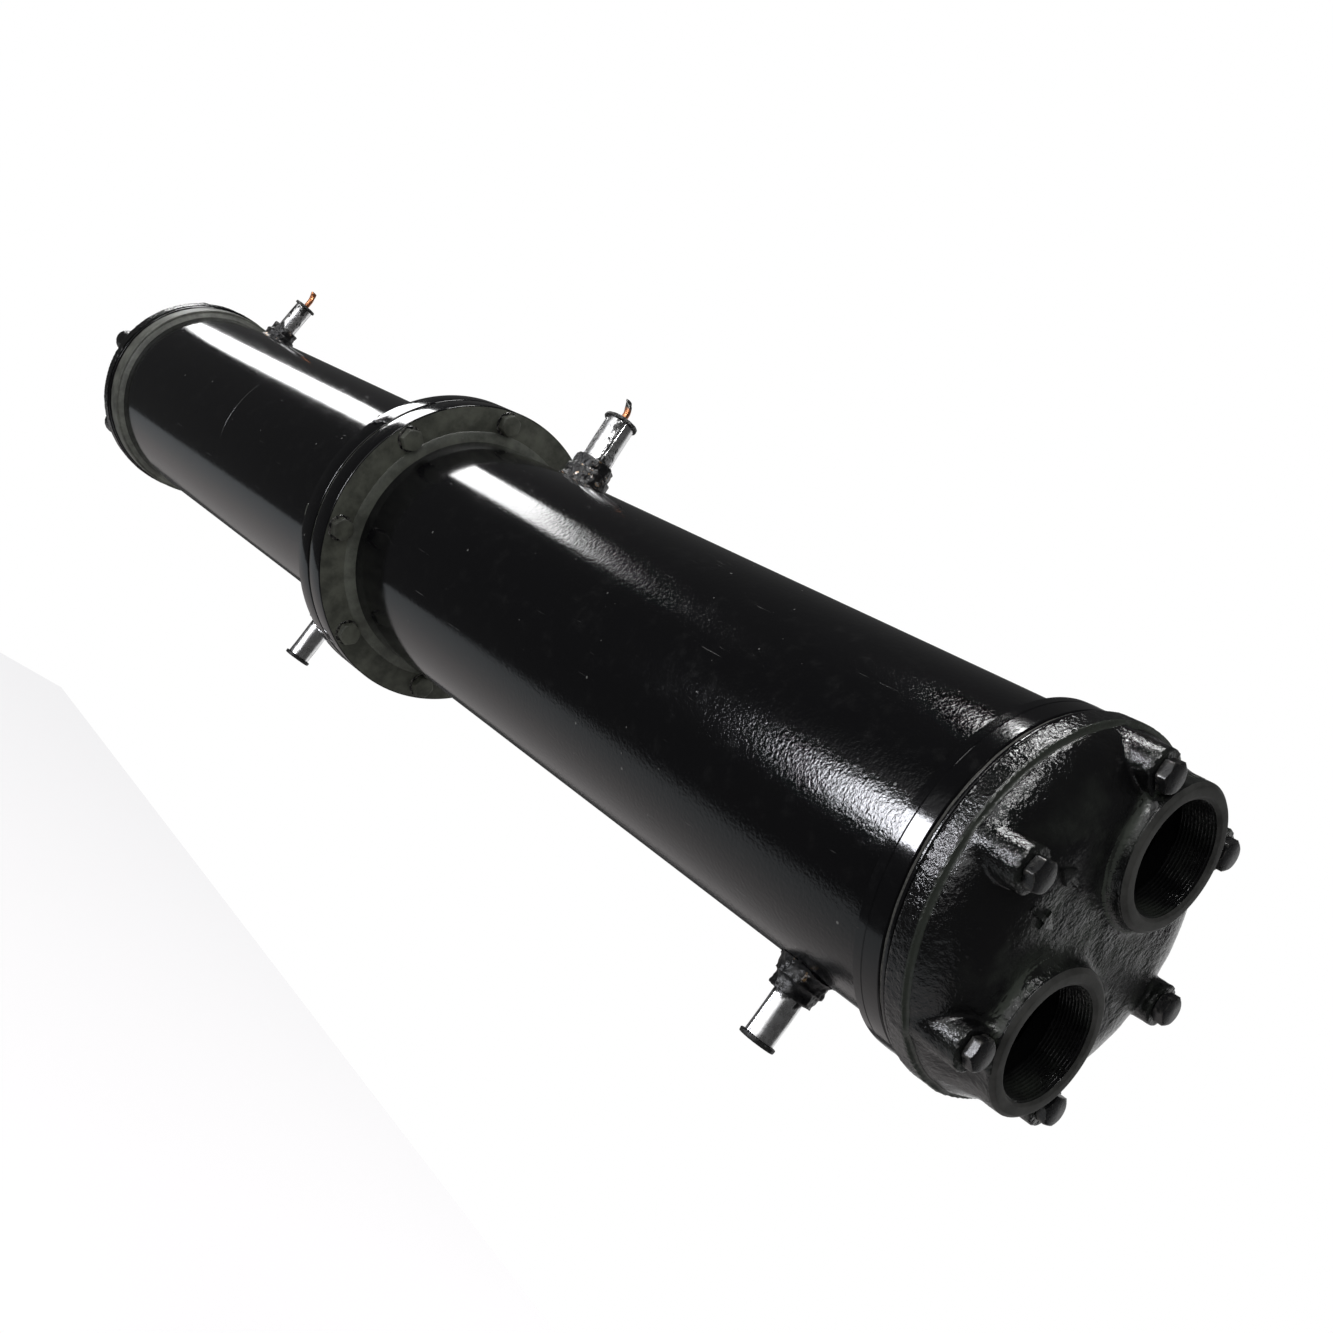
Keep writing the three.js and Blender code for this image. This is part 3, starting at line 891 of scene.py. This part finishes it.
def hollowed(body, u, y, z, ported):
    r = np.hypot(y, z)
    across = np.maximum(r - DOME_FLAT_R + 8 * MM, 0) / (WATER_BOX_R - DOME_FLAT_R + 8 * MM)
    up = np.maximum(u + MM, 0) / (WATER_BOX_H + MM)
    chamber = (np.sqrt(across**2 + up**2) - 1) * WATER_BOX_H
    if ported:
        chamber = np.maximum(chamber, PASS_RIB / 2 - np.abs(z))
        for side in (1, -1):
            bore = np.hypot(y, z - side * PORT_OFFSET) - PORT_BORE_R - 2.5 * MM
            chamber = np.minimum(chamber, np.maximum(bore, PORT_FACE_H - PORT_DEPTH - u))
    body = np.maximum(body, -chamber)
    for cy, cz in column_places():
        seat = np.maximum(np.hypot(y - cy, z - cz) - SPOT_FACE_R, COLUMN_H - u)
        body = np.maximum(body, -seat)
    return body


def head_field(ported, fillet=2.6 * MM):
    def field(u, y, z):
        body = plain_casting(u, y, z, fillet)
        if ported:
            body = merge(body, collars(u, y, z), fillet * 3.4)
        return np.maximum(hollowed(body, u, y, z, ported), 4.2 * MM - u)

    return field


def cast_head(node, side, ported):
    low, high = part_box(node)
    origin = low.x if side > 0 else high.x
    field = head_field(ported)
    reach = RIM_R + 3 * MM
    step = 1.4 * MM
    points, faces = surface_net(
        (2 * MM, -reach, -reach), (PORT_FACE_H + 3 * MM, reach, reach), step, field
    )
    normal = slope(field, points, 0.3 * MM)[1]
    plain = head_field(ported, 0.4 * MM)(*points.T)
    hollow = np.clip(plain / (1.6 * MM), 0, 1)
    seated = points[:, 0] < 4.6 * MM
    moved = roughen(points, normal, 0.22 * MM, 2.4 * MM, 3.0)
    moved = roughen(moved, normal, 0.45 * MM, 13 * MM, 9.0)
    moved[seated] = points[seated]
    place = Matrix.Translation((origin, 0, 0)) @ Matrix.Rotation(0 if side > 0 else math.pi, 4, "Z")
    form = Form().add((moved, faces), 0, place)
    land = soften(
        [
            (0, 0.09),
            (0, RIM_R - 2.2 * MM),
            (0.5 * MM, RIM_R - 1.4 * MM),
            (2.4 * MM, RIM_R - 1.3 * MM),
            (3.1 * MM, RIM_R - 2.2 * MM),
            (4.0 * MM, RIM_R - 2.2 * MM),
            (4.5 * MM, RIM_R - 0.3 * MM),
            (6.0 * MM, RIM_R - 0.6 * MM),
        ],
        0.25 * MM,
    )
    form.add(turned([*land, (6.0 * MM, 0.09)], ROUND_SIDES), 1, place)
    made = piece(f"{node}_casting", form, ["cast", "enamel", "port_face"], node, sharp=50)
    tint = made.data.attributes.new("hollow", "FLOAT", "POINT")
    near = np.zeros(len(made.data.vertices), np.float32)
    near[: len(hollow)] = hollow
    tint.data.foreach_set("value", near)
    return made


def port_sleeve(name, side):
    """The machined face of a port, its chamfer and the pipe thread cut inside it."""
    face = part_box("ported_head")[1].x
    sides = 180
    outer = soften(
        [
            (-6 * MM, COLLAR_R - 2 * MM),
            (-PORT_CHAMFER - 0.6 * MM, COLLAR_R + 0.15 * MM),
            (-PORT_CHAMFER + 0.2 * MM, COLLAR_R - 0.1 * MM),
            (0, COLLAR_R - PORT_CHAMFER),
            (0, PORT_BORE_R + 2.3 * MM),
            (-1.6 * MM, PORT_BORE_R + 0.7 * MM),
        ],
        0.7 * MM,
    )
    depth = np.arange(-1.8 * MM, -THREAD_LENGTH, -THREAD_PITCH / 8)
    rows = [*outer, *[(x, PORT_BORE_R) for x in depth]]
    rows += [(-THREAD_LENGTH - MM, PORT_BORE_R + 1.4 * MM), (-PORT_DEPTH, PORT_BORE_R + 1.4 * MM)]
    rows += [(-PORT_DEPTH, PORT_BORE_R + 3 * MM), (-6 * MM, PORT_BORE_R + 3 * MM)]
    start = len(outer)

    def threaded(x, r, angle):
        turn = (x / THREAD_PITCH + angle / (2 * math.pi)) % 1.0
        ridge = np.clip(np.abs(turn * 2 - 1) * 1.3 - 0.15, 0, 1) * THREAD_DEPTH
        cut = np.zeros_like(r)
        cut[start : start + len(depth)] = 1
        return ridge * cut

    place = Matrix.Translation((face, 0, side * PORT_OFFSET))
    form = Form().add(turned(rows, sides, threaded), 0, place)
    machined = [i for i, (x, r) in enumerate(outer) if x > -PORT_CHAMFER]
    form.finish = [int(i // sides not in machined) for i in range(len(form.faces))]
    made = piece(name, form, ["port_face", "cast"], "ported_head", sharp=28)
    return made


def flow_arrow(name, z, direction):
    """A raised arrow cast on the dome, pointing along +Y or -Y."""
    shape = [(-13, -2.2), (2, -2.2), (2, -6), (13, 0), (2, 6), (2, 2.2), (-13, 2.2)]
    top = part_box("ported_head")[0].x + DOME_H
    rows = []
    for height, shrink in ((-3.0, 0.0), (1.0, 0.25), (1.7, 0.9)):
        for y, v in shape:
            rows.append(
                (
                    top + height * MM,
                    direction * (y - math.copysign(shrink, y)) * MM,
                    (v - math.copysign(shrink, v) * 0.8) * MM,
                )
            )
    faces = grid_faces(3, 7) + [tuple(range(7)), tuple(range(14, 21))]
    form = Form().add((rows, faces), 0, Matrix.Translation((0, -64 * MM, z)))
    return piece(name, form, ["cast"], "ported_head", sharp=50)


# ---- oil stubs ----


def stub_place(side, x, lean):
    """A frame whose X axis is the stub's own, starting on the shell axis side of its foot."""
    a = math.radians(lean)
    out = Vector((math.sin(a), 0, math.cos(a))) if side > 0 else Vector((0, 0, -1))
    across = Vector((0, 1, 0))
    turn = Matrix([out, across, out.cross(across)]).transposed().to_4x4()
    return Matrix.Translation((x * MM, 0, side * SHELL_R)) @ turn


def coupling(node, place, radius, top):
    """The welded boss: a rough collar whose weld spreads over the shell."""
    outside = radius + BOSS_WALL
    shape = np.array(place)
    reach = outside + 16 * MM

    def field(u, v, w):
        local = np.stack([u, v, w], -1)
        world = local @ shape[:3, :3].T + shape[:3, 3]
        hull = np.hypot(world[..., 1], world[..., 2]) - SHELL_R
        r = np.hypot(v, w)
        boss = np.maximum(r - outside, u - top)
        waist = np.maximum(r - outside - 2.2 * MM, u - top * 0.52)
        body = merge(merge(boss, waist, 3 * MM), hull, 6 * MM)
        body = np.maximum(body, 0.08 * MM - hull)
        return np.maximum(body, radius + 0.1 * MM - r)

    low = (-14 * MM, -reach, -reach)
    high = (top + 4 * MM, reach, reach)
    points, faces = surface_net(low, high, 0.9 * MM, field)
    normal = slope(field, points, 0.2 * MM)[1]
    points = roughen(points, normal, 0.9 * MM, 3.6 * MM, radius * 900)
    points = roughen(points, normal, 1.1 * MM, 8.5 * MM, radius * 500)
    form = Form().add((points, faces), 0, place)
    piece(f"{node}_weld", form, ["weld"], node, sharp=60)


def stub_pipe(node, place, radius, tip, crease):
    inner = radius - PIPE_WALL
    profile = soften(
        [(6 * MM, inner), (6 * MM, radius), (tip, radius), (tip, inner)], 0.4 * MM
    )
    rows = [p for p in profile if p[0] < tip / 2]
    rows += [(x, radius) for x in np.linspace(tip * 0.3, tip * 0.9, 12)]
    rows += [p for p in profile if p[0] > tip / 2]
    at = math.radians(crease)

    def creased(x, r, angle):
        off = (angle - at - (x - tip) * 3.0 + math.pi) % (2 * math.pi) - math.pi
        fold = -0.00042 * np.exp(-((off / 0.045) ** 2)) + 0.00012 * np.exp(
            -(((np.abs(off) - 0.12) / 0.06) ** 2)
        )
        dent = 0.00010 * np.sin(angle * 3 + x * 150)
        return (fold + dent) * (r > inner + 0.001)

    form = Form().add(turned(rows, 240, creased), 0, place)
    piece(f"{node}_tube", form, ["pipe"], node)


def end_plug(node, place, radius, tip, hole, finish):
    lip = radius + CAP_LIP
    spigot = radius - PIPE_WALL - CAP_GAP
    base = tip + CAP_GAP
    rows = [
        (tip - CAP_SPIGOT, hole),
        (tip - CAP_SPIGOT, spigot - MM),
        (tip - CAP_SPIGOT + MM, spigot),
        (base, spigot),
        (base, lip),
        (base + CAP_THICK, lip - 0.4 * MM),
        (base + CAP_THICK, hole),
    ]
    profile = soften(rows, 0.7 * MM)
    if hole:
        profile = profile[:-1] + [
            (base + CAP_THICK + 0.2 * MM, hole + 1.5 * MM),
            (base + CAP_THICK + 0.9 * MM, hole),
        ]

    def worn(x, r, angle):
        return (0.00016 * np.sin(angle * 5 + 1) + 0.0001 * np.sin(angle * 13)) * (r > spigot + MM)

    form = Form().add(turned(profile, 96, worn), 0, place)
    piece(f"{node}_plug", form, [finish], node)


def process_tube(node, place, tip, rise, finish):
    """A short copper tube that bends over to a pinched end."""
    base = tip + CAP_GAP + CAP_THICK
    start = tip - 6 * MM
    steps = np.linspace(0, 1, 34)
    angle = np.linspace(0, 2 * math.pi, 28, endpoint=False)
    centres = []
    for t in steps:
        height = start + (base + rise - start) * t
        share = max(0.0, (height - base) / rise)
        centres.append((height, 0.0, 7 * MM * max(0.0, (share - 0.4) / 0.6) ** 1.3))
    centres = np.array(centres)
    ahead = np.gradient(centres, axis=0)
    ahead /= np.linalg.norm(ahead, axis=1)[:, None]
    points = [centres[0]] * len(angle)
    for centre_point, along, t in zip(centres, ahead, steps):
        pinch = np.clip((t - 0.78) / 0.14, 0, 1)
        pinch = pinch * pinch * (3 - 2 * pinch)
        wide = COPPER_R * (1 + 0.25 * pinch)
        thin = COPPER_R * (1 - 0.62 * pinch)
        across = np.array([0.0, 1.0, 0.0])
        beside = np.cross(along, across)
        points += [
            centre_point + across * wide * math.cos(a) + beside * thin * math.sin(a) for a in angle
        ]
    points += [centres[-1]] * len(angle)
    form = Form().add((points, grid_faces(len(steps) + 2, len(angle))), 0, place)
    piece(f"{node}_copper", form, [finish], node)


def oil_stub(name, values):
    side, x, lean, radius, boss, tip, rise, crease = values
    place = stub_place(side, x, lean)
    radius *= MM
    top = boss * MM - SHELL_R
    end = tip * MM - SHELL_R
    coupling(f"{name}_coupling", place, radius, top)
    stub_pipe(f"{name}_pipe", place, radius, end, crease)
    hole = COPPER_R + CAP_GAP if rise else 0
    end_plug(f"{name}_cap", place, radius, end, hole, "plug" if rise else "rubber")
    if rise:
        copper = "near_copper" if name.startswith("near") else "far_copper"
        process_tube(f"{name}_process_tube", place, end, rise * MM, copper)


# ---- the cooler ----

shell("near_shell", 1.0)
shell("far_shell", 2.6)
mid_plate("near_mid_tubesheet", 1)
mid_plate("far_mid_tubesheet", -1)
end_ring("near_end_tubesheet", 1, "ring")
end_ring("far_end_tubesheet", -1, "worn")
gasket("mid_gasket", 92 * MM, 41)
gasket("ported_head_gasket", 89 * MM, 37)
gasket("return_head_gasket", 89 * MM, 43)
tube_bundle("near_tube_bundle")
tube_bundle("far_tube_bundle")
for number in range(1, 9):
    flange_bolt(number, number * 37 % 60)
    flange_nut(number, number * 23 % 60)
for number in range(1, 7):
    head_bolt(f"ported_head_bolt_{number}", 1, (30, 41, 32, 17, 30, 12)[number - 1])
    head_bolt(f"return_head_bolt_{number}", -1, number * 29 % 60)
cast_head("ported_head", 1, ported=True)
cast_head("return_head", -1, ported=False)
port_sleeve("water_outlet_thread", 1)
port_sleeve("water_inlet_thread", -1)
flow_arrow("outlet_arrow", 13 * MM, -1)
flow_arrow("inlet_arrow", -13 * MM, 1)
for stub_name, stub_values in STUBS.items():
    oil_stub(stub_name, stub_values)


# ---- studio ----

FLOOR_DEPTH = -1.09  # the cooler is held in its cradle at bench height


def pale_floor():
    made, plaster = material("pale_floor")
    node = plaster.node("ShaderNodeLightPath").socket.node
    eye, glossy, through = [
        Tone(plaster, node.outputs[k])
        for k in ("Is Camera Ray", "Is Glossy Ray", "Is Transmission Ray")
    ]
    shown = eye * 0.60 + (glossy + through).least(1.0) * 0.04
    across = plaster.parts(plaster.place())[1].step(-0.45, 0.30)
    tint = plaster.blend(across, (0.68, 0.73, 0.76, 1), (0.79, 0.75, 0.745, 1))
    shader = plaster.node("ShaderNodeBsdfDiffuse", {"Color": tint})
    glow = plaster.node("ShaderNodeEmission", {"Color": (0.96, 0.98, 1.0, 1), "Strength": shown})
    both = plaster.node("ShaderNodeAddShader", {0: shader, 1: glow})
    plaster.node("ShaderNodeOutputMaterial", {"Surface": both})
    edge = [(-4.6, -0.45), (1.6, -0.45), (1.6, 1.9), (-4.6, 1.9)]
    mesh = bpy.data.meshes.new("pale_floor")
    mesh.from_pydata([(x, y, FLOOR_DEPTH) for x, y in edge], [], [(0, 1, 2, 3)])
    mesh.materials.append(made)
    floor = bpy.data.objects.new("pale_floor", mesh)
    bpy.context.scene.collection.objects.link(floor)


def white_room():
    """White to the eye. Glossy paint sees a dim room with two pale screens at the sides."""
    world = bpy.data.worlds.new("white_room")
    bpy.context.scene.world = world
    world.use_nodes = True
    room = Finish(world.node_tree)
    node = room.node("ShaderNodeLightPath").socket.node
    eye = Tone(room, node.outputs["Is Camera Ray"])
    mirror = (
        Tone(room, node.outputs["Is Glossy Ray"]) + Tone(room, node.outputs["Is Transmission Ray"])
    ).least(1.0)
    facing = room.node("ShaderNodeTexCoord", output="Generated")
    left = screen(room, facing, (-0.10, -0.99, 0.08))
    right = screen(room, facing, (-0.12, 0.99, 0.08))
    dim = 0.06 + left * 1.5 + right * 0.8
    plain = (1 - eye - mirror).most(0.0)
    strength = eye + mirror * dim + plain * 0.36
    back = room.node("ShaderNodeBackground", {"Color": (1, 1, 1, 1), "Strength": strength})
    room.node("ShaderNodeOutputWorld", {"Surface": back})


def screen(room, facing, towards):
    near = room.node(
        "ShaderNodeVectorMath",
        {0: facing, 1: towards},
        output="Value",
        operation="DOT_PRODUCT",
    )
    return near.step(0.84, 0.93)


def lamp(name, at, size, radiance, tint=(1, 1, 1)):
    data = bpy.data.lights.new(name, "AREA")
    data.shape = "RECTANGLE"
    data.size, data.size_y = size
    data.energy = radiance * math.pi * size[0] * size[1]
    data.color = tint
    made = bpy.data.objects.new(name, data)
    made.location = at
    bpy.context.scene.collection.objects.link(made)
    return made


def fill(name, at, size, radiance):
    """A soft lamp for the colours, which leaves no highlight."""
    made = lamp(name, at, (size, size), radiance)
    made.rotation_euler = (-Vector(at)).to_track_quat("-Z", "Y").to_euler()
    made.visible_glossy = False


def strip(name, start, end, height, width, radiance, tint=(1, 1, 1)):
    """A long lamp overhead, facing down, that only shows as a highlight."""
    run = Vector(end) - Vector(start)
    middle = (Vector(start) + Vector(end)) / 2
    made = lamp(name, (middle.x, middle.y, height), (run.length, width), radiance, tint)
    made.rotation_euler.z = math.atan2(run.y, run.x)
    made.visible_diffuse = False


def panel(name, at, aim, size, radiance, tint=(1, 1, 1)):
    """An upright lamp beside the cooler that only shows as a highlight."""
    made = lamp(name, at, size, radiance, tint)
    made.rotation_euler = (Vector(aim) - Vector(at)).to_track_quat("-Z", "Y").to_euler()
    made.visible_diffuse = False
    made.visible_camera = False


pale_floor()
white_room()
strip("far_strip", (-3.8, -0.38), (-2.2, -0.38), 1.2, 0.60, 10)
strip("near_strip", (-2.25, -0.45), (-1.52, -0.74), 1.2, 0.72, 11)
strip("end_strip", (-0.06, -0.43), (0.26, -0.43), 1.2, 0.34, 34)
panel("side_panel", (-0.20, -1.44, -0.19), (0.67, -0.108, -0.015), (0.27, 0.44), 40, (0.93, 0.94, 1.0))
panel("front_panel", (0.83, -1.2, 0.96), (0.75, -0.06, 0), (0.34, 0.34), 30)
fill("key", (-1.2, -2.2, 2.2), 1.6, 2.6)
fill("front_fill", (2.4, -1.6, 1.2), 1.6, 1.5)
fill("back_fill", (0.5, 2.4, 1.6), 2.0, 1.4)


def camera():
    data = bpy.data.cameras.new("camera")
    data.sensor_width = 36
    data.lens = 38.15
    data.clip_start = 0.01
    made = bpy.data.objects.new("camera", data)
    forward = Vector((-0.729522, 0.67707, 0.096818)).normalized()
    up = Vector((-0.349007, -0.490248, 0.798656))
    right = forward.cross(up).normalized()
    turn = Matrix([right, right.cross(forward), -forward]).transposed().to_4x4()
    made.matrix_world = Matrix.Translation((1.126592, -0.735451, -0.096087)) @ turn
    bpy.context.scene.collection.objects.link(made)
    bpy.context.scene.camera = made


camera()
bpy.context.scene.view_settings.view_transform = "Standard"
